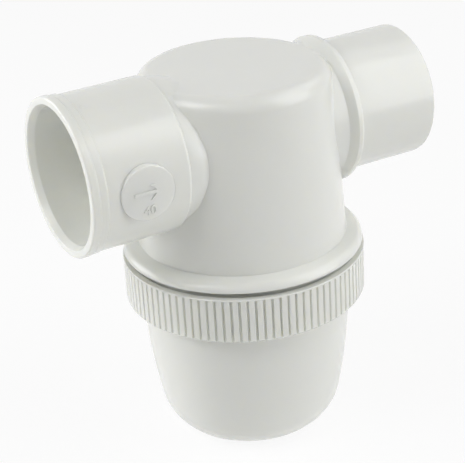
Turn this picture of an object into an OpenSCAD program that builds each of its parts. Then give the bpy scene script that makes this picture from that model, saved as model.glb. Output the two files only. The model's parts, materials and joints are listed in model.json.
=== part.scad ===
// Inline basin trap of white PVC: a one-piece body with a socket inlet, a spigot outlet and a
// dip tube inside, closed from below by a cup that a knurled nut holds on the threaded neck.
// Frame: origin at the middle of the cup's base, +Z up, outlet along +X, inlet along -X.

/* [Pipe] */
// Outside diameter of the waste pipe, and of the outlet spigot
pipe_d = 40; // [38:0.5:42]
// Radial clearance between that pipe and the inlet socket
socket_clear = 0.1; // [0.05:0.05:0.4]
// Depth of the inlet socket, down to the pipe stop
socket_depth = 27.8; // [26:0.2:50]
// Wall of the inlet socket
socket_wall = 2.65; // [2:0.05:4]
// Length of the outlet spigot beyond its collar
spigot_l = 27.2; // [20:0.1:60]
// Wall of the outlet spigot
spigot_wall = 2.8; // [2:0.1:4]

/* [Socket mouth] */
// How far the mouth bead stands proud of the socket
bead_h = 0.55; // [0.3:0.05:1.5]
// Width of the mouth bead
bead_w = 2.2; // [1.5:0.1:4]
// Width of the low band behind the bead
band_w = 2.5; // [1:0.1:5]
// How far the low band stands proud of the socket
band_h = 0.3; // [0.1:0.05:0.5]
// Width of the lead-in chamfer of the socket bore, which is twice as long
lead_in = 1; // [0.2:0.1:1.5]
// How far the socket stands proud of the root that joins it to the chamber
step_h = 0.9; // [0.4:0.1:2]
// Distance of that step behind the pipe stop
step_back = 1.8; // [1:0.1:3]

/* [Outlet collar] */
// How far the collar stands proud of the spigot
collar_h = 2.35; // [1.5:0.05:4]
// Width of the collar, with its sloping flank
collar_w = 4; // [3:0.1:6]
// Width of the sloping flank on the chamber's side
flank_w = 2.4; // [1:0.1:3]
// How far the collar's end lies beyond the chamber's wall at the height of the pipe axis
collar_out = 0.6; // [0.5:0.1:4]
// How far the boss between chamber and collar stands proud of the spigot
boss_h = 0.8; // [0.6:0.1:2]

/* [Marking disc] */
// Diameter of the flat marking disc on the socket
disc_d = 16.1; // [10:0.1:20]
// Distance of the disc's middle from the socket mouth
disc_back = 17.1; // [14:0.1:20]
// Downward tilt of the disc about the pipe axis, in degrees
disc_tilt = 4; // [0:1:20]
// How far the disc's face lies below the socket's surface
disc_sink = 0.45; // [0.2:0.05:0.8]

/* [Chamber] */
// Outside radius of the chamber at the height of the pipe axis
body_r = 29.6; // [29:0.2:36]
// Draft of the chamber wall, in degrees
body_draft = 3.4; // [2:0.2:6]
// Wall of the chamber
wall = 3; // [2:0.1:4]
// How far the flat top lies above the spigot
top_step = 0.3; // [0:0.1:3]
// Thickness of the flat top
top_t = 3.2; // [2:0.1:3.4]
// Rounding of the edge of the flat top
top_round = 4.6; // [1:0.1:6]
// Height of the pipe axis above the lower edge of the shoulder
axis_rise = 35.1; // [32:0.1:60]
// Rounding of the shoulder's edge over the nut
shoulder_round = 2.6; // [1:0.1:4]
// Slope of the shoulder from the chamber wall out to that rounding, in degrees
shoulder_slope = 15; // [0:1:35]

/* [Dip tube] */
// Bore radius of the inlet passage
inlet_bore_r = 16; // [14:0.5:16.5]
// Bore radius of the dip tube at the height of the pipe axis
tube_bore_r = 16.6; // [16.6:0.1:17.4]
// Wall of the dip tube and of the inlet passage
tube_wall = 2.4; // [1.6:0.1:2.8]
// Clearance between the dip tube and the cup's upright wall, on the inlet side
tube_gap = 2.1; // [1.5:0.1:4]
// Draft of the dip tube on each face, in degrees
tube_draft = 0.2; // [0:0.1:0.5]
// Depth of the water seal
water_seal = 50; // [40:1:60]

/* [Neck and nut] */
// Wall of the threaded neck, at the root of its thread
neck_wall = 3.8; // [2.4:0.1:5]
// Length of the neck below the shoulder
neck_l = 8.5; // [6:0.1:14]
// Height of the thread on the neck
thread_h = 1; // [0.8:0.1:1.6]
// Radial clearance between the neck's thread and the nut
thread_clear = 0.3; // [0.25:0.05:0.6]
// Wall of the nut, inside the knurl
nut_wall = 1.35; // [1.2:0.05:4]
// Thickness of the nut's lip under the cup's flange
lip_t = 2.7; // [2:0.1:4]
// Open gap between the nut and the shoulder
nut_gap = 1.9; // [1:0.1:3]
// How far the shoulder's edge lies inside the nut's knurl
shoulder_inset = 0.35; // [0:0.05:1]

/* [Knurl] */
// Number of ribs round the nut
ribs = 96; // [60:1:120]
// Height of a rib
rib_h = 0.9; // [0.5:0.1:1.4]
// Share of a rib's pitch that its crest takes
crest_share = 0.66; // [0.4:0.01:0.7]
// Share of a rib's pitch that the root of a groove takes
root_share = 0.16; // [0.1:0.01:0.25]
// Height of the plain rim over the ribs
rim_h = 0.5; // [0.4:0.1:2]
// How far the rim stands proud of the ribs
rim_proud = 0.1; // [0.05:0.05:0.3]
// Chamfer of the nut's lower edge
nut_chamfer = 0.5; // [0.2:0.1:1]

/* [Cup] */
// Height of the cup with its flange
cup_h = 50.9; // [50:0.1:80]
// Thickness of the cup's flange
flange_t = 2.6; // [2:0.1:4]
// Radial clearance between the cup's flange and the nut's thread, past which it goes in
flange_clear = 0.15; // [0.05:0.05:0.4]
// Width of the ledge by which the nut's lip lifts the cup
ledge_w = 1.6; // [1.4:0.05:3]
// Radial clearance between the nut's lip and the cup
lip_clear = 0.35; // [0.3:0.05:0.8]
// Wall of the cup
cup_wall = 2.6; // [2:0.1:3.2]
// How far the cup's side leans in, from the nut down to its rounding
cup_lean = 3.3; // [2:0.1:5]
// Rounding between the flat and the side of the cup
cup_round = 14.2; // [11:0.1:16]

/* [Seal] */
// Thickness of the seal
seal_t = 2; // [1.5:0.1:3]
// Radial clearance of the seal inside the cup's flange
seal_inset = 0.25; // [0.1:0.05:0.4]

/* [Hidden] */
$fn = 96;
steps = 8;      // straight runs that stand for each drawn arc
through = 1;    // how far a cut runs past the face it opens
crisp = 0.3;    // radius of a sharp moulded edge
soft = 0.6;     // radius of an eased edge or of a small root fillet

// Heights, from the base of the cup up
seal_z = cup_h;
neck_z = seal_z + seal_t;
shoulder_z = neck_z + neck_l;
axis_z = shoulder_z + axis_rise;
pipe_r = pipe_d / 2;
top_z = axis_z + pipe_r + top_step;
nut_top = shoulder_z - nut_gap;
lip_top = cup_h - flange_t;
nut_z = lip_top - lip_t;

// Radii, from the chamber wall out to the nut and back in to the cup
function wall_r(z) = body_r + (axis_z - z) * tan(body_draft);
function inner_r(z) = wall_r(z) - wall / cos(body_draft);
neck_r = inner_r(neck_z) + neck_wall;
nut_bore_r = neck_r + thread_h + thread_clear;
root_r = nut_bore_r + nut_wall;
crest_r = root_r + rib_h;
shoulder_r = crest_r - shoulder_inset;
flange_r = neck_r + thread_clear - flange_clear;
cup_r = flange_r - ledge_w;
lip_r = cup_r + lip_clear;
foot_r = cup_r - cup_lean - cup_round;      // radius of the flat that the cup stands on
tube_shift = cup_r - cup_wall - tube_gap - tube_wall - tube_bore_r;

// Pipe ends along X
socket_r = pipe_r + socket_clear;
socket_out_r = socket_r + socket_wall;
stop_x = body_r;
mouth_x = stop_x + socket_depth;
collar_x = body_r + collar_out;
outlet_x = collar_x + spigot_l;
spigot_bore_r = pipe_r - spigot_wall;
collar_r = pipe_r + collar_h;
boss_r = pipe_r + boss_h;
tube_end_z = axis_z - spigot_bore_r - water_seal;

// Points of an arc about c from angle a0 to a1
function arc(c, r, a0, a1) = [for (i = [0 : steps]) let (a = a0 + (a1 - a0) * i / steps)
    [c[0] + r * cos(a), c[1] + r * sin(a)]];

// Middle of a rounding of radius r inside the wall line of radius wall0 at the axis, under z_top
function top_round_c(wall0, z_top, r) = [wall0 - (r + (z_top - r - axis_z) * sin(body_draft)) / cos(body_draft),
    z_top - r];

// Turns a profile drawn as [radius, distance along the pipe] about the pipe axis
module along_pipe(side) {
    translate([0, 0, axis_z]) rotate([0, side * 90, 0]) rotate_extrude() children();
}

// Chamber with its flat top, drafted wall, shoulder and neck
module chamber_outside() {
    edge_c = top_round_c(body_r, top_z, top_round);
    shoulder_c = [shoulder_r - shoulder_round, shoulder_z];
    touch = shoulder_c + shoulder_round * [sin(shoulder_slope), cos(shoulder_slope)];
    // The slope runs up from the rounding until it meets the wall
    run = (touch[0] - wall_r(touch[1])) / (cos(shoulder_slope) - sin(shoulder_slope) * tan(body_draft));
    rotate_extrude() polygon(concat(
        [[0, neck_z], [neck_r, neck_z], [neck_r, shoulder_z]],
        arc(shoulder_c, shoulder_round, 0, 90 - shoulder_slope),
        [touch + run * [-cos(shoulder_slope), sin(shoulder_slope)]],
        arc(edge_c, top_round, body_draft, 90),
        [[0, top_z]]));
}

// Room inside the chamber, open at the neck's end
module chamber_space() {
    ceiling_z = top_z - top_t;
    inner_round = max(top_round - wall, 2 * soft);
    edge_c = top_round_c(body_r - wall / cos(body_draft), ceiling_z, inner_round);
    rotate_extrude() polygon(concat(
        [[0, neck_z - through], [inner_r(neck_z - through), neck_z - through]],
        arc(edge_c, inner_round, body_draft, 90),
        [[0, ceiling_z]]));
}

// Socket barrel with its mouth bead; behind the pipe stop it steps down to a root, which slopes
// away inside the chamber's wall
module socket_outside() {
    barrel_root_r = socket_out_r - step_h;
    step_x = stop_x - step_back;
    slope = [0.55, 0.8] * body_r;
    bead_x = mouth_x - bead_w;
    along_pipe(-1) polygon(concat(
        [[0, 0], [pipe_r, 0], [pipe_r, slope[0]], [barrel_root_r, slope[1]], [barrel_root_r, step_x - step_h]],
        arc([barrel_root_r, step_x], step_h, -90, 0),
        [[socket_out_r, bead_x - band_w - band_h],
         [socket_out_r + band_h, bead_x - band_w],
         [socket_out_r + band_h, bead_x - crisp]],
        arc([socket_out_r + bead_h - crisp, bead_x], crisp, -90, 0),
        arc([socket_out_r + bead_h - soft, mouth_x - soft], soft, 0, 90),
        [[0, mouth_x]]));
}

// Flat marking disc, let into the socket's side
module disc_place(from, to) {
    translate([-mouth_x + disc_back, 0, axis_z]) rotate([90 + disc_tilt, 0, 0])
        translate([0, 0, from]) cylinder(d = disc_d, h = to - from);
}

// Spigot with its collar, and the boss that joins the collar to the chamber flush with the flat top
module outlet_outside() {
    flank_x = collar_x - collar_w;
    crest_x = flank_x + flank_w;
    slope = (collar_h - boss_h) / flank_w;
    intersection() {
        along_pipe(1) square([boss_r, flank_x + soft]);
        translate([0, -boss_r, 0]) cube([collar_x, 2 * boss_r, top_z]);
    }
    along_pipe(1) polygon(concat(
        [[0, 0], [pipe_r, 0], [pipe_r, flank_x - boss_h / slope], [collar_r, crest_x]],
        arc([collar_r - crisp, collar_x - crisp], crisp, 0, 90),
        arc([pipe_r + soft, collar_x + soft], soft, -90, -180),
        [[pipe_r, outlet_x - soft], [pipe_r - soft, outlet_x], [0, outlet_x]]));
}

// Elbow inside the chamber: the inlet passage turns down into the dip tube
module elbow_outside() {
    tip_r = tube_bore_r + tube_wall - (axis_z - tube_end_z) * tan(tube_draft);
    translate([-tube_shift, 0, 0]) rotate_extrude() polygon(concat(
        [[0, tube_end_z], [tip_r, tube_end_z]],
        arc([0, axis_z], tube_bore_r + tube_wall, 0, 90)));
    translate([-stop_x, 0, axis_z]) rotate([0, 90, 0])
        cylinder(r = inlet_bore_r + tube_wall, h = stop_x - tube_shift);
}

module elbow_bore() {
    mouth_r = tube_bore_r + (axis_z - tube_end_z) * tan(tube_draft);
    translate([-tube_shift, 0, 0]) rotate_extrude() polygon(concat(
        [[0, tube_end_z - through], [mouth_r, tube_end_z - through]],
        arc([0, axis_z], tube_bore_r, 0, 90)));
    translate([-stop_x - through, 0, axis_z]) rotate([0, 90, 0])
        cylinder(r = inlet_bore_r, h = stop_x + through - tube_shift);
}

module socket_bore() {
    translate([-mouth_x - through, 0, axis_z]) rotate([0, 90, 0])
        cylinder(r = socket_r, h = socket_depth + through);
    along_pipe(-1) polygon([[0, mouth_x - 2 * lead_in], [socket_r, mouth_x - 2 * lead_in],
        [socket_r + lead_in, mouth_x], [socket_r + lead_in, mouth_x + through], [0, mouth_x + through]]);
}

module outlet_bore() {
    start_x = tube_bore_r + tube_wall - tube_shift + 5 * crisp;
    translate([start_x, 0, axis_z]) rotate([0, 90, 0])
        cylinder(r = spigot_bore_r, h = outlet_x - start_x + through);
}

module trap_body() {
    face_r = socket_out_r - disc_sink;
    color([0.87, 0.87, 0.85]) difference() {
        union() {
            difference() {
                union() {
                    chamber_outside();
                    socket_outside();
                    outlet_outside();
                    disc_place(socket_r + soft, face_r);
                }
                disc_place(face_r, socket_out_r + through);
                chamber_space();
                outlet_bore();
            }
            elbow_outside();
        }
        elbow_bore();
        socket_bore();
    }
}

// Outline of the ribs: each has a crest and sloping flanks down to the groove's root
module rib_outline() {
    pitch = 360 / ribs;
    polygon([for (i = [0 : ribs - 1]) each [for (side = [[root_share - 1, root_r], [-crest_share, crest_r],
        [crest_share, crest_r], [1 - root_share, root_r]])
        let (a = pitch * (i + side[0] / 2)) [side[1] * cos(a), side[1] * sin(a)]]]);
}

// Union nut: lip under the cup's flange, bore over the neck's thread, ribs outside
module ring_nut() {
    band_z = nut_top - rim_h;
    core_r = root_r - nut_wall / 4;
    rim_r = crest_r + rim_proud;
    rim_edge = rim_h / 4;
    color([0.86, 0.86, 0.84]) difference() {
        union() {
            translate([0, 0, nut_z]) linear_extrude(band_z + rim_h / 2 - nut_z) rib_outline();
            rotate_extrude() polygon([[0, nut_z], [core_r, nut_z], [core_r, band_z], [rim_r, band_z],
                [rim_r, nut_top - rim_edge], [rim_r - rim_edge, nut_top], [0, nut_top]]);
        }
        translate([0, 0, nut_z - through]) cylinder(r = lip_r, h = nut_top - nut_z + 2 * through);
        rotate_extrude() polygon([[0, lip_top], [nut_bore_r, lip_top], [nut_bore_r, nut_top - nut_chamfer],
            [nut_bore_r + nut_chamfer, nut_top], [nut_bore_r + nut_chamfer, nut_top + through],
            [0, nut_top + through]]);
        rotate_extrude() polygon([[crest_r - nut_chamfer, nut_z - through], [crest_r + through, nut_z - through],
            [crest_r + through, nut_z + nut_chamfer + through], [crest_r - nut_chamfer, nut_z]]);
    }
}

// Side and base of the cup as two arcs that meet smoothly, the side one upright at the nut;
// inset moves both arcs inwards by a wall
function cup_curve(inset) =
    let (lean = 2 * atan((cup_r - foot_r - cup_round) / (nut_z - cup_round)))
    let (side_r = (nut_z - cup_round * (1 - sin(lean))) / sin(lean))
    concat(arc([foot_r, cup_round], cup_round - inset, -90, -lean),
        arc([cup_r - side_r, nut_z], side_r - inset, -lean, 0));

module cup() {
    color([0.88, 0.88, 0.86]) rotate_extrude() difference() {
        polygon(concat([[0, 0]], cup_curve(0),
            [[cup_r, lip_top], [flange_r, lip_top], [flange_r, cup_h], [0, cup_h]]));
        polygon(concat([[0, cup_wall]], cup_curve(cup_wall),
            [[cup_r - cup_wall, cup_h + through], [0, cup_h + through]]));
    }
}

// Flat washer between the neck's end and the cup's flange
module seal() {
    color([0.16, 0.16, 0.16]) translate([0, 0, seal_z]) difference() {
        cylinder(r = flange_r - seal_inset, h = seal_t);
        translate([0, 0, -through]) cylinder(r = inner_r(neck_z), h = seal_t + 2 * through);
    }
}

trap_body();
ring_nut();
cup();
seal();
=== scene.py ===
"""Dresses the basin trap: moulded white PVC shells, the thread of neck and nut, and the marking disc with
its figures and flow arrow."""

import json
import math

import bmesh
import bpy
from mathutils import Matrix, Vector


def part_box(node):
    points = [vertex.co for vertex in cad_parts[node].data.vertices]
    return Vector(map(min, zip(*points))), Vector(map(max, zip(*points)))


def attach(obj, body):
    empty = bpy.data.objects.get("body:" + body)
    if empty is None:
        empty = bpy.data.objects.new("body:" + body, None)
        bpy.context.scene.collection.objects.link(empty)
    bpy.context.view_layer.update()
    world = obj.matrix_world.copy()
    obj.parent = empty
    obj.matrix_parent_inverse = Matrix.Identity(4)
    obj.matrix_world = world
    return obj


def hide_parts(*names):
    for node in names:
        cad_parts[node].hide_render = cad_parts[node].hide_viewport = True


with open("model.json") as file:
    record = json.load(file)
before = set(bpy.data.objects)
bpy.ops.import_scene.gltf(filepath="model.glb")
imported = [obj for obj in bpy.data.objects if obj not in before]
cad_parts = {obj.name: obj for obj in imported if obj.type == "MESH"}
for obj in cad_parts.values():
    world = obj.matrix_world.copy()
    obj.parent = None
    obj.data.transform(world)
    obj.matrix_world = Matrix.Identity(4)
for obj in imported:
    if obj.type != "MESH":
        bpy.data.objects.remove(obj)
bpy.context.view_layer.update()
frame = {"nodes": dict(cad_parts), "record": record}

bl_info = {
    "name": "Basin trap",
    "version": (1, 0, 0),
    "blender": (4, 5, 0),
    "location": "View3D > Sidebar > Basin trap",
    "description": "Moulded shells, thread, markings and a plain studio for an inline basin trap",
    "category": "Add Mesh",
}

MM = 0.001
INLET = frame["record"]["mounts"][0]
PIPE_AXIS_Z = INLET["pos_m"][2]
SOCKET_BORE_R = INLET["dims"]["r_mm"] * MM
MOUTH_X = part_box("trap_body")[0].x
NECK_END_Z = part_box("seal")[1].z
NUT_TOP_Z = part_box("ring_nut")[1].z
FLANGE_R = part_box("cup")[1].x


class TrapSizes(bpy.types.PropertyGroup):
    """Sizes of the details that are added to the solids."""
    pitch: bpy.props.FloatProperty(
        name="Thread pitch", description="Rise of the neck's thread in one turn",
        default=4 * MM, unit="LENGTH")
    thread_h: bpy.props.FloatProperty(
        name="Thread height", description="Height of the thread over its root",
        default=1 * MM, unit="LENGTH")
    thread_gap: bpy.props.FloatProperty(
        name="Thread clearance", description="Radial clearance between the two threads",
        default=0.3 * MM, unit="LENGTH")
    thread_sunk: bpy.props.FloatProperty(
        name="Thread root depth", description="How deep the foot of a thread lies in the solid",
        default=0.3 * MM, unit="LENGTH")
    thread_inset: bpy.props.FloatProperty(
        name="Thread inset", description="How far the threads keep from the neck's end and the nut's top",
        default=0.4 * MM, unit="LENGTH")
    thread_overrun: bpy.props.FloatProperty(
        name="Thread overrun", description="How far the neck's thread runs past the nut's top",
        default=0.6 * MM, unit="LENGTH")
    flange_gap: bpy.props.FloatProperty(
        name="Flange clearance", description="Radial clearance of the cup's flange past the nut's thread",
        default=0.15 * MM, unit="LENGTH")
    crease: bpy.props.FloatProperty(
        name="Crease angle", description="Edges that turn more than this stay crisp",
        default=math.radians(26), subtype="ANGLE")
    shell_ease: bpy.props.FloatProperty(
        name="Shell edge radius", description="Radius of the sharp edges of body and cup",
        default=0.35 * MM, unit="LENGTH")
    knurl_ease: bpy.props.FloatProperty(
        name="Knurl edge radius", description="Radius of the edges of the nut and its ribs",
        default=0.12 * MM, unit="LENGTH")
    relief_ease: bpy.props.FloatProperty(
        name="Relief edge radius", description="Radius of the edges of threads, figures and arrow",
        default=0.1 * MM, unit="LENGTH")
    socket_wall: bpy.props.FloatProperty(
        name="Socket wall", description="Wall of the socket round its bore",
        default=2.65 * MM, unit="LENGTH")
    disc_back: bpy.props.FloatProperty(
        name="Marking disc place", description="Distance of the disc's middle from the socket's mouth",
        default=16.6 * MM, unit="LENGTH")
    disc_proud: bpy.props.FloatProperty(
        name="Marking disc height", description="How far the disc's face stands over the socket's crown",
        default=0.4 * MM, unit="LENGTH")
    disc_d: bpy.props.FloatProperty(
        name="Marking disc diameter", description="Diameter of the marking disc",
        default=16.3 * MM, unit="LENGTH")
    disc_t: bpy.props.FloatProperty(
        name="Marking disc thickness", description="Thickness of the pad, most of it in the socket's wall",
        default=2.5 * MM, unit="LENGTH")
    disc_ease: bpy.props.FloatProperty(
        name="Marking disc edge", description="Width of the eased edge of the disc's face",
        default=0.3 * MM, unit="LENGTH")
    disc_tilt: bpy.props.FloatProperty(
        name="Marking disc tilt", description="Downward tilt of the disc about the pipe axis",
        default=math.radians(1.7), subtype="ANGLE")
    figure_h: bpy.props.FloatProperty(
        name="Figure height", description="Height of the size figures on the disc",
        default=2.6 * MM, unit="LENGTH")
    figure_place: bpy.props.FloatVectorProperty(
        name="Figure place", description="Middle of the size figures, from the middle of the disc",
        default=(0.3 * MM, -5.2 * MM), size=2, unit="LENGTH")
    arrow_l: bpy.props.FloatProperty(
        name="Arrow length", description="Length of the flow arrow on the disc",
        default=8.4 * MM, unit="LENGTH")
    arrow_place: bpy.props.FloatVectorProperty(
        name="Arrow place", description="Middle of the flow arrow, from the middle of the disc",
        default=(0, 0.2 * MM), size=2, unit="LENGTH")
    relief: bpy.props.FloatProperty(
        name="Relief", description="How far figures and arrow stand proud of the disc",
        default=0.3 * MM, unit="LENGTH")
    gate_back: bpy.props.FloatProperty(
        name="Gate mark place", description="Distance of the moulding's gate mark from the socket's mouth",
        default=6.5 * MM, unit="LENGTH")
    gate_turn: bpy.props.FloatProperty(
        name="Gate mark turn", description="How far up round the socket the gate mark lies from its side",
        default=math.radians(73), subtype="ANGLE")
    gate_r: bpy.props.FloatProperty(
        name="Gate mark radius", description="Radius of the gate mark",
        default=1 * MM, unit="LENGTH")


class TrapColours(bpy.types.PropertyGroup):
    """Colours of the mouldings and the stage, as sRGB hex values, and how far light sinks in."""
    body: bpy.props.StringProperty(
        name="Body", description="Colour of the body moulding", default="EFF0EB")
    nut: bpy.props.StringProperty(
        name="Nut", description="Colour of the union nut", default="F0F1EB")
    cup: bpy.props.StringProperty(
        name="Cup", description="Colour of the cup", default="EFF0EB")
    seal: bpy.props.StringProperty(
        name="Seal", description="Colour of the seal", default="1B1B1B")
    floor: bpy.props.StringProperty(
        name="Floor", description="Colour of the floor", default="FAFAFA")
    glow: bpy.props.FloatProperty(
        name="Glow", description="Share of the light that sinks into the PVC of body, nut and cup",
        default=0.6, subtype="FACTOR")


class StudioSettings(bpy.types.PropertyGroup):
    """Camera and lamps."""
    eye: bpy.props.FloatVectorProperty(
        name="Camera place", description="Where the camera stands",
        default=(-0.2019, -0.3710, 0.2678), unit="LENGTH")
    azimuth: bpy.props.FloatProperty(
        name="Azimuth", description="Heading of the view from straight ahead",
        default=math.radians(28.15), subtype="ANGLE")
    elevation: bpy.props.FloatProperty(
        name="Elevation", description="Downward slope of the view",
        default=math.radians(25.79), subtype="ANGLE")
    roll: bpy.props.FloatProperty(
        name="Roll", description="Roll of the camera about its view",
        default=math.radians(-3.55), subtype="ANGLE")
    lens: bpy.props.FloatProperty(
        name="Lens", description="Focal length on a 36 mm wide sensor, in millimetres", default=119.78)
    floor_reach: bpy.props.FloatProperty(
        name="Floor reach", description="Distance from the middle of the floor to each of its sides",
        default=4, unit="LENGTH")
    lamp_size: bpy.props.FloatProperty(
        name="Lamp size", description="Side of each square lamp", default=0.6, unit="LENGTH")
    lamp_target: bpy.props.FloatVectorProperty(
        name="Lamp target", description="Point that all lamps face", default=(0, 0, 0.06), unit="LENGTH")
    left_watts: bpy.props.FloatProperty(
        name="Left lamp", description="Power of the high lamp that shines along the pipe into the inlet",
        default=4.2, unit="POWER")
    left_back_watts: bpy.props.FloatProperty(
        name="Left back lamp", description="Power of the low lamp behind at the left",
        default=4.7, unit="POWER")
    right_watts: bpy.props.FloatProperty(
        name="Right lamp", description="Power of the low lamp in front at the right",
        default=3.15, unit="POWER")
    high_right_watts: bpy.props.FloatProperty(
        name="High right lamp", description="Power of the high lamp in front at the right",
        default=2.75, unit="POWER")
    front_watts: bpy.props.FloatProperty(
        name="Front lamp", description="Power of the high lamp in front at the left",
        default=0.8, unit="POWER")
    outlet_watts: bpy.props.FloatProperty(
        name="Outlet lamp", description="Power of the high lamp that faces the outlet",
        default=1.4, unit="POWER")
    sky: bpy.props.FloatProperty(
        name="Sky", description="Strength of the even light all round", default=0.02)


# Places of the lamps, in metres; the studio's settings hold the power of each
LAMP_PLACES = {
    "left": (-0.71, 0, 0.77),
    "left_back": (-0.69, 0.69, 0.27),
    "right": (0.69, -0.69, 0.27),
    "high_right": (0.5, -0.5, 0.77),
    "front": (-0.5, -0.5, 0.77),
    "outlet": (0.71, 0, 0.77),
}


def linear(code):
    """Linear RGBA of an sRGB hex value."""
    channels = [int(code[i:i + 2], 16) / 255 for i in (0, 2, 4)]
    return [c / 12.92 if c <= 0.04045 else ((c + 0.055) / 1.055) ** 2.4 for c in channels] + [1]


def scaled(colour, share):
    """Linear RGBA colour brought to a share of its brightness."""
    return [c * share for c in colour[:3]] + [1]


def add_node(tree, kind, inputs=None, **settings):
    """Adds a node, sets its properties, and sets or links its inputs."""
    node = tree.nodes.new(kind)
    for name, value in settings.items():
        setattr(node, name, value)
    for name, value in (inputs or {}).items():
        if isinstance(value, bpy.types.NodeSocket):
            tree.links.new(value, node.inputs[name])
        else:
            node.inputs[name].default_value = value
    return node


def new_material(name):
    """Material with an empty node tree."""
    material = bpy.data.materials.new(name)
    material.use_nodes = True
    material.node_tree.nodes.clear()
    return material, material.node_tree


def ramp(tree, factor, low, high):
    """Colour ramp between two linear colours."""
    node = add_node(tree, "ShaderNodeValToRGB", {"Fac": factor})
    node.color_ramp.elements[0].color = low
    node.color_ramp.elements[1].color = high
    return node.outputs["Color"]


def moulded_pvc(name, code, ease, glow):
    """Rigid PVC, injection moulded in a polished steel tool: an off-white, semi-gloss skin whose sheen
    drifts a little where the melt flowed, over a faint orange peel. Ease is the radius of its sharp edges,
    and glow the share of light that sinks in before it comes out again."""
    # Flow marks are some 22 mm across and a little darker, and the pits of the peel 1.1 mm across
    marks_per_mm = 0.045
    mark_shade = 0.965
    pits_per_mm = 0.9
    material, tree = new_material(name)
    place = add_node(tree, "ShaderNodeTexCoord").outputs["Object"]
    drift = add_node(tree, "ShaderNodeTexNoise", {"Vector": place, "Scale": marks_per_mm / MM, "Detail": 3})
    peel = add_node(tree, "ShaderNodeTexNoise", {"Vector": place, "Scale": pits_per_mm / MM, "Detail": 2})
    tone = linear(code)
    colour = ramp(tree, drift.outputs["Fac"], scaled(tone, mark_shade), tone)
    sheen = add_node(tree, "ShaderNodeMapRange", {
        "Value": drift.outputs["Fac"], "To Min": 0.20, "To Max": 0.26})
    edges = add_node(tree, "ShaderNodeBevel", {"Radius": ease}, samples=6)
    bump = add_node(tree, "ShaderNodeBump", {
        "Height": peel.outputs["Fac"], "Strength": 0.05, "Distance": 0.02 * MM,
        "Normal": edges.outputs["Normal"]})
    shader = add_node(tree, "ShaderNodeBsdfPrincipled", {
        "Base Color": colour, "Roughness": sheen.outputs["Result"], "IOR": 1.53,
        "Subsurface Weight": glow, "Subsurface Radius": (1.0, 0.95, 0.8), "Subsurface Scale": 1.6 * MM,
        "Normal": bump.outputs["Normal"]})
    add_node(tree, "ShaderNodeOutputMaterial", {"Surface": shader.outputs["BSDF"]})
    return material


def moulded_rubber(name, code):
    """EPDM rubber, compression moulded: dull black with a bloom of lighter dust in its pores."""
    # Real pores are finer than a tenth of a millimetre; these are drawn at 0.7 mm to show at all
    pores_per_mm = 1.5
    dust_shade = 2.2
    material, tree = new_material(name)
    place = add_node(tree, "ShaderNodeTexCoord").outputs["Object"]
    pores = add_node(tree, "ShaderNodeTexNoise", {"Vector": place, "Scale": pores_per_mm / MM, "Detail": 4})
    tone = linear(code)
    bump = add_node(tree, "ShaderNodeBump", {
        "Height": pores.outputs["Fac"], "Strength": 0.3, "Distance": 0.05 * MM})
    shader = add_node(tree, "ShaderNodeBsdfPrincipled", {
        "Base Color": ramp(tree, pores.outputs["Fac"], tone, scaled(tone, dust_shade)), "Roughness": 0.75,
        "Normal": bump.outputs["Normal"]})
    add_node(tree, "ShaderNodeOutputMaterial", {"Surface": shader.outputs["BSDF"]})
    return material


def seen_directly(tree):
    """Factor of 1 where the camera sees the surface straight, in gloss or through glass, otherwise 0."""
    path = add_node(tree, "ShaderNodeLightPath").outputs
    seen = path["Is Camera Ray"]
    for ray in ("Is Glossy Ray", "Is Transmission Ray"):
        either = add_node(tree, "ShaderNodeMath", {0: seen, 1: path[ray]}, operation="MAXIMUM")
        seen = either.outputs[0]
    return seen


def studio_floor(name, code):
    """Matt white board: it takes the object's shadow, and shows near white to camera and gloss."""
    white_share = 0.9
    material, tree = new_material(name)
    share = add_node(tree, "ShaderNodeMath", {0: seen_directly(tree), 1: white_share}, operation="MULTIPLY")
    board = add_node(tree, "ShaderNodeBsdfDiffuse", {"Color": linear(code)})
    white = add_node(tree, "ShaderNodeEmission", {"Color": (1, 1, 1, 1), "Strength": 1})
    mix = add_node(tree, "ShaderNodeMixShader", {
        "Fac": share.outputs[0], 1: board.outputs["BSDF"], 2: white.outputs["Emission"]})
    add_node(tree, "ShaderNodeOutputMaterial", {"Surface": mix.outputs["Shader"]})
    return material


def studio_sky(name, level):
    """World that shows white and lights the object evenly, at a low level."""
    world = bpy.data.worlds.new(name)
    world.use_nodes = True
    tree = world.node_tree
    tree.nodes.clear()
    strength = add_node(tree, "ShaderNodeMapRange", {
        "Value": seen_directly(tree), "To Min": level, "To Max": 1.0})
    light = add_node(tree, "ShaderNodeBackground", {
        "Color": (1, 1, 1, 1), "Strength": strength.outputs["Result"]})
    add_node(tree, "ShaderNodeOutputWorld", {"Surface": light.outputs["Background"]})
    return world


def new_object(name, bm, material):
    """Makes an object of a bmesh, with its place in its mesh."""
    mesh = bpy.data.meshes.new(name)
    bm.to_mesh(mesh)
    bm.free()
    mesh.materials.append(material)
    made = bpy.data.objects.new(name, mesh)
    bpy.context.scene.collection.objects.link(made)
    return made


def new_piece(name, bm, material, body):
    """Makes a piece of the trap of a bmesh, and rides it on a body."""
    piece = new_object(name, bm, material)
    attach(piece, body)
    return piece


def smooth_by_angle(bm, crease):
    """Shades smooth, with edges that turn more than crease kept crisp."""
    for face in bm.faces:
        face.smooth = True
    for edge in bm.edges:
        edge.smooth = not edge.is_manifold or edge.calc_face_angle(0) < crease


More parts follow.
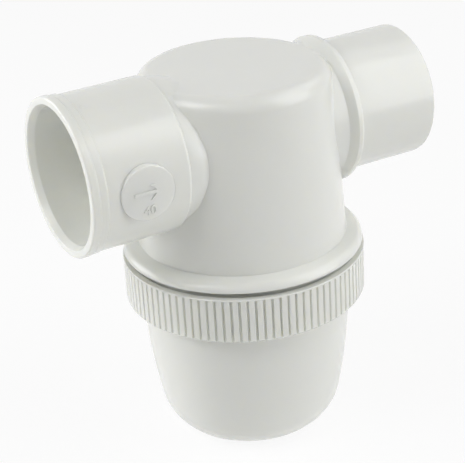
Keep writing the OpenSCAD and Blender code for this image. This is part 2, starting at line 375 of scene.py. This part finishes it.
def shell(node, name, material, body, crease, finish=None):
    """A welded, smoothly shaded copy of a CAD solid, which stands for it; finish reshapes its details."""
    weld = 0.001 * MM
    bm = bmesh.new()
    bm.from_mesh(frame["nodes"][node].data)
    bmesh.ops.remove_doubles(bm, verts=bm.verts, dist=weld)
    if finish:
        finish(bm)
    smooth_by_angle(bm, crease)
    piece = new_piece(name, bm, material, body)
    weights = piece.modifiers.new("Even normals", "WEIGHTED_NORMAL")
    weights.keep_sharp = True
    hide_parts(node)
    return piece


def thread(sizes, root_r, crest_r, high_z):
    """Right-hand thread as a bmesh, up from the neck's end: a trapezoid spun into a helix, which fades out
    at both ends. It stands outwards where its crest has the larger radius, and inwards otherwise."""
    half_root = 0.26 * sizes.pitch
    half_crest = 0.12 * sizes.pitch
    steps_per_turn = 72
    fade = math.radians(40)
    # Turn that the fade has done at the very ends, so that no face there has zero height
    head_start = 0.02
    outward = 1 if crest_r > root_r else -1
    foot_r = root_r - outward * sizes.thread_sunk
    start_z = NECK_END_Z + sizes.thread_inset + half_root
    turns = (high_z - start_z - half_root) / sizes.pitch
    steps = round(turns * steps_per_turn)
    whole = steps * math.tau / steps_per_turn
    corners = [(foot_r, -half_root), (root_r, -half_root), (crest_r, -half_crest),
               (crest_r, half_crest), (root_r, half_root), (foot_r, half_root)]
    bm = bmesh.new()
    face = bm.faces.new([bm.verts.new((r, 0, start_z + z)) for r, z in corners])
    bmesh.ops.spin(bm, geom=[face, *face.edges, *face.verts], cent=(0, 0, 0), axis=(0, 0, 1),
                   dvec=(0, 0, sizes.pitch / steps_per_turn), angle=whole, steps=steps,
                   use_merge=False, use_normal_flip=False, use_duplicate=False)
    for vert in bm.verts:
        r = math.hypot(vert.co.x, vert.co.y)
        by_height = (vert.co.z - start_z) / sizes.pitch * math.tau
        turn = math.atan2(vert.co.y, vert.co.x)
        turn += math.tau * round((by_height - turn) / math.tau)
        share = max(0.0, min(1.0, (turn + head_start) / fade, (whole - turn + head_start) / fade))
        if outward * (r - root_r) > 0:
            scale = (root_r + (r - root_r) * share) / r
            vert.co.x *= scale
            vert.co.y *= scale
    bmesh.ops.recalc_face_normals(bm, faces=bm.faces)
    return bm


def socket_place(sizes, back, tilt, height):
    """Matrix of a place on the socket's outside, from its distance to the mouth, its tilt down from the
    socket's side and its height over the crown. X points along the pipe and Z outwards."""
    return (Matrix.Translation((MOUTH_X + back, 0, PIPE_AXIS_Z))
            @ Matrix.Rotation(math.pi / 2 + tilt, 4, "X")
            @ Matrix.Translation((0, 0, SOCKET_BORE_R + sizes.socket_wall + height)))


def level_disc(bm, sizes):
    """Brings the rim of the solid's flat disc up to the round of the socket, to lie under the pad."""
    # The flat's middle lies a drop below the pipe's axis, its rim within reach, and its face in the skin
    drop = 1.6 * MM
    reach = 9.2 * MM
    skin = 1.2 * MM
    socket_r = SOCKET_BORE_R + sizes.socket_wall
    for vert in bm.verts:
        height = vert.co.z - PIPE_AXIS_Z
        r = math.hypot(vert.co.y, height)
        on_disc = math.hypot(vert.co.x - MOUTH_X - sizes.disc_back, height + drop) < reach
        in_front = vert.co.y < -socket_r / 2
        if on_disc and in_front and r > socket_r - skin:
            vert.co.y *= socket_r / r
            vert.co.z = PIPE_AXIS_Z + height * socket_r / r


class TRAP_OT_body(bpy.types.Operator):
    """Dress the body moulding and cut the thread on its neck"""
    bl_idname = "trap.body"
    bl_label = "Body"

    def execute(self, context):
        sizes, colours = context.scene.trap_sizes, context.scene.trap_colours
        pvc = moulded_pvc("moulded_pvc_body", colours.body, sizes.shell_ease, colours.glow)
        # Thread and low relief lie in the solid's skin, where light that sank in would be lost
        relief_pvc = moulded_pvc("moulded_pvc_relief", colours.body, sizes.relief_ease, 0)
        shell("trap_body", "body_shell", pvc, "trap_body", sizes.crease,
              lambda bm: level_disc(bm, sizes))
        root_r = FLANGE_R + sizes.flange_gap - sizes.thread_gap
        bm = thread(sizes, root_r, root_r + sizes.thread_h, NUT_TOP_Z + sizes.thread_overrun)
        smooth_by_angle(bm, sizes.crease)
        new_piece("neck_thread", bm, relief_pvc, "trap_body")
        return {"FINISHED"}


def raised_disc(diameter, thickness, ease):
    """Disc as a bmesh, whose face lies on the origin's plane and has an eased edge."""
    bm = bmesh.new()
    bmesh.ops.create_cone(bm, cap_ends=True, segments=96, radius1=diameter / 2,
                          radius2=diameter / 2, depth=thickness)
    bmesh.ops.translate(bm, vec=(0, 0, -thickness / 2), verts=bm.verts)
    rim = [edge for edge in bm.edges if all(vert.co.z > -thickness / 2 for vert in edge.verts)]
    bmesh.ops.bevel(bm, geom=rim, offset=ease, affect="EDGES", segments=3, profile=0.5, material=-1)
    return bm


def figures(text, height, relief):
    """Raised plain figures as a bmesh, middled on the origin."""
    # Share of the font's size that a figure is high
    figure_share = 0.7
    ease = 0.05 * MM
    curve = bpy.data.curves.new("figures", "FONT")
    curve.body = text
    curve.size = height / figure_share
    curve.align_x = "CENTER"
    curve.align_y = "CENTER"
    curve.extrude = relief - ease
    curve.bevel_depth = ease
    draft = bpy.data.objects.new("figures_draft", curve)
    bpy.context.scene.collection.objects.link(draft)
    bpy.context.view_layer.update()
    mesh = bpy.data.meshes.new_from_object(draft.evaluated_get(bpy.context.evaluated_depsgraph_get()))
    bpy.data.objects.remove(draft)
    bpy.data.curves.remove(curve)
    bm = bmesh.new()
    bm.from_mesh(mesh)
    bpy.data.meshes.remove(mesh)
    return bm


def flow_arrow(length, relief):
    """Raised arrow with an open head along +X as a bmesh, middled on the origin."""
    # Half the shaft's width, how far a barb reaches out and back, and the barb's width along the arrow
    shaft = 0.5 * MM
    barb = 2.2 * MM
    stroke = 1.3 * MM
    tail, tip = -length / 2, length / 2
    half = [(tail, shaft), (tip - stroke - shaft, shaft), (tip - stroke - barb, barb), (tip - barb, barb)]
    outline = [(x, -y) for x, y in half] + [(tip, 0)] + half[::-1]
    bm = bmesh.new()
    face = bm.faces.new([bm.verts.new((x, y, -relief)) for x, y in outline])
    lifted = bmesh.ops.extrude_face_region(bm, geom=[face])["geom"]
    top = [item for item in lifted if isinstance(item, bmesh.types.BMVert)]
    bmesh.ops.translate(bm, vec=(0, 0, 2 * relief), verts=top)
    bmesh.ops.recalc_face_normals(bm, faces=bm.faces)
    return bm


class TRAP_OT_marking(bpy.types.Operator):
    """Lay the marking pad on the socket, with the plain size figures and the flow arrow raised on it"""
    bl_idname = "trap.marking"
    bl_label = "Marking"

    def execute(self, context):
        sizes = context.scene.trap_sizes
        body_pvc = bpy.data.materials["moulded_pvc_body"]
        relief_pvc = bpy.data.materials["moulded_pvc_relief"]
        pad = raised_disc(sizes.disc_d, sizes.disc_t, sizes.disc_ease)
        size = figures("40", sizes.figure_h, sizes.relief)
        arrow = flow_arrow(sizes.arrow_l, sizes.relief)
        face = socket_place(sizes, sizes.disc_back, sizes.disc_tilt, sizes.disc_proud)
        for name, bm, pvc, middle in (
                ("marking_pad", pad, body_pvc, (0, 0)),
                ("size_figures", size, relief_pvc, sizes.figure_place),
                ("flow_arrow", arrow, relief_pvc, sizes.arrow_place)):
            bmesh.ops.transform(bm, matrix=face @ Matrix.Translation((*middle, 0)), verts=bm.verts)
            smooth_by_angle(bm, sizes.crease)
            new_piece(name, bm, pvc, "trap_body")
        return {"FINISHED"}


class TRAP_OT_gate(bpy.types.Operator):
    """Leave the moulding's gate mark on the socket"""
    bl_idname = "trap.gate"
    bl_label = "Gate mark"

    def execute(self, context):
        sizes = context.scene.trap_sizes
        top_r = 0.4 * sizes.gate_r
        height = 0.5 * sizes.relief
        bm = bmesh.new()
        bmesh.ops.create_cone(bm, cap_ends=True, segments=24, radius1=sizes.gate_r,
                              radius2=top_r, depth=height)
        place = socket_place(sizes, sizes.gate_back, -sizes.gate_turn, 0)
        bmesh.ops.transform(bm, matrix=place, verts=bm.verts)
        smooth_by_angle(bm, sizes.crease)
        new_piece("gate_mark", bm, bpy.data.materials["moulded_pvc_relief"], "trap_body")
        return {"FINISHED"}


class TRAP_OT_nut(bpy.types.Operator):
    """Dress the union nut and cut its thread"""
    bl_idname = "trap.nut"
    bl_label = "Nut"

    def execute(self, context):
        sizes, colours = context.scene.trap_sizes, context.scene.trap_colours
        pvc = moulded_pvc("moulded_pvc_nut", colours.nut, sizes.knurl_ease, colours.glow)
        thread_pvc = moulded_pvc("moulded_pvc_nut_thread", colours.nut, sizes.relief_ease, 0)
        shell("ring_nut", "nut_shell", pvc, "ring_nut", sizes.crease)
        crest_r = FLANGE_R + sizes.flange_gap
        bm = thread(sizes, crest_r + sizes.thread_h, crest_r, NUT_TOP_Z - sizes.thread_inset)
        # Half a turn round, its ridge lies in the groove of the neck's thread
        bmesh.ops.rotate(bm, cent=(0, 0, 0), matrix=Matrix.Rotation(math.pi, 3, "Z"), verts=bm.verts)
        smooth_by_angle(bm, sizes.crease)
        new_piece("nut_thread", bm, thread_pvc, "ring_nut")
        return {"FINISHED"}


class TRAP_OT_cup(bpy.types.Operator):
    """Dress the cup"""
    bl_idname = "trap.cup"
    bl_label = "Cup"

    def execute(self, context):
        sizes, colours = context.scene.trap_sizes, context.scene.trap_colours
        pvc = moulded_pvc("moulded_pvc_cup", colours.cup, sizes.shell_ease, colours.glow)
        shell("cup", "cup_shell", pvc, "cup", sizes.crease)
        return {"FINISHED"}


class TRAP_OT_seal(bpy.types.Operator):
    """Dress the seal"""
    bl_idname = "trap.seal"
    bl_label = "Seal"

    def execute(self, context):
        sizes, colours = context.scene.trap_sizes, context.scene.trap_colours
        rubber = moulded_rubber("moulded_epdm_rubber", colours.seal)
        shell("seal", "seal_washer", rubber, "cup", sizes.crease)
        return {"FINISHED"}


def area_lamp(name, place, target, size, watts):
    """Large square lamp that faces a target."""
    lamp = bpy.data.lights.new(name, "AREA")
    lamp.size = size
    lamp.energy = watts
    holder = bpy.data.objects.new(name, lamp)
    holder.location = place
    holder.rotation_euler = (Vector(target) - Vector(place)).to_track_quat("-Z", "Y").to_euler()
    bpy.context.scene.collection.objects.link(holder)
    return holder


def studio_camera(name, studio):
    """Camera at the photograph's viewing angle."""
    camera = bpy.data.cameras.new(name)
    camera.lens = studio.lens
    camera.clip_start = 10 * MM
    holder = bpy.data.objects.new(name, camera)
    turn = (Matrix.Rotation(-studio.azimuth, 4, "Z")
            @ Matrix.Rotation(math.pi / 2 - studio.elevation, 4, "X")
            @ Matrix.Rotation(studio.roll, 4, "Z"))
    holder.matrix_world = Matrix.Translation(studio.eye) @ turn
    bpy.context.scene.collection.objects.link(holder)
    return holder


class TRAP_OT_studio(bpy.types.Operator):
    """Set the floor, the lamps, the sky and the camera"""
    bl_idname = "trap.studio"
    bl_label = "Studio"

    def execute(self, context):
        scene, studio = context.scene, context.scene.trap_studio
        scene.view_settings.view_transform = "Standard"
        bm = bmesh.new()
        bmesh.ops.create_grid(bm, x_segments=1, y_segments=1, size=studio.floor_reach)
        new_object("floor", bm, studio_floor("matt_white_board", scene.trap_colours.floor))
        for name, place in LAMP_PLACES.items():
            watts = getattr(studio, name + "_watts")
            area_lamp(name + "_lamp", place, studio.lamp_target, studio.lamp_size, watts)
        scene.world = studio_sky("white_sky", studio.sky)
        scene.camera = studio_camera("camera", studio)
        return {"FINISHED"}


OPERATORS = (TRAP_OT_body, TRAP_OT_marking, TRAP_OT_gate, TRAP_OT_nut, TRAP_OT_cup, TRAP_OT_seal,
             TRAP_OT_studio)


class TRAP_PT_panel(bpy.types.Panel):
    """Lists the steps that dress the trap, and the values that they use."""
    bl_idname = "TRAP_PT_panel"
    bl_label = "Basin trap"
    bl_space_type = "VIEW_3D"
    bl_region_type = "UI"
    bl_category = "Basin trap"

    def draw(self, context):
        for operator in OPERATORS:
            self.layout.operator(operator.bl_idname)
        for group in (context.scene.trap_sizes, context.scene.trap_colours, context.scene.trap_studio):
            for name in group.__annotations__:
                self.layout.prop(group, name)


GROUPS = {"trap_sizes": TrapSizes, "trap_colours": TrapColours, "trap_studio": StudioSettings}


def register():
    for cls in (*GROUPS.values(), *OPERATORS, TRAP_PT_panel):
        bpy.utils.register_class(cls)
    for name, group in GROUPS.items():
        setattr(bpy.types.Scene, name, bpy.props.PointerProperty(type=group))


def unregister():
    for name in GROUPS:
        delattr(bpy.types.Scene, name)
    for cls in reversed((*GROUPS.values(), *OPERATORS, TRAP_PT_panel)):
        bpy.utils.unregister_class(cls)


def main():
    """Dresses the trap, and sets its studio."""
    register()
    bpy.ops.trap.body()
    bpy.ops.trap.marking()
    bpy.ops.trap.gate()
    bpy.ops.trap.nut()
    bpy.ops.trap.cup()
    bpy.ops.trap.seal()
    bpy.ops.trap.studio()


if __name__ == "__main__":
    main()
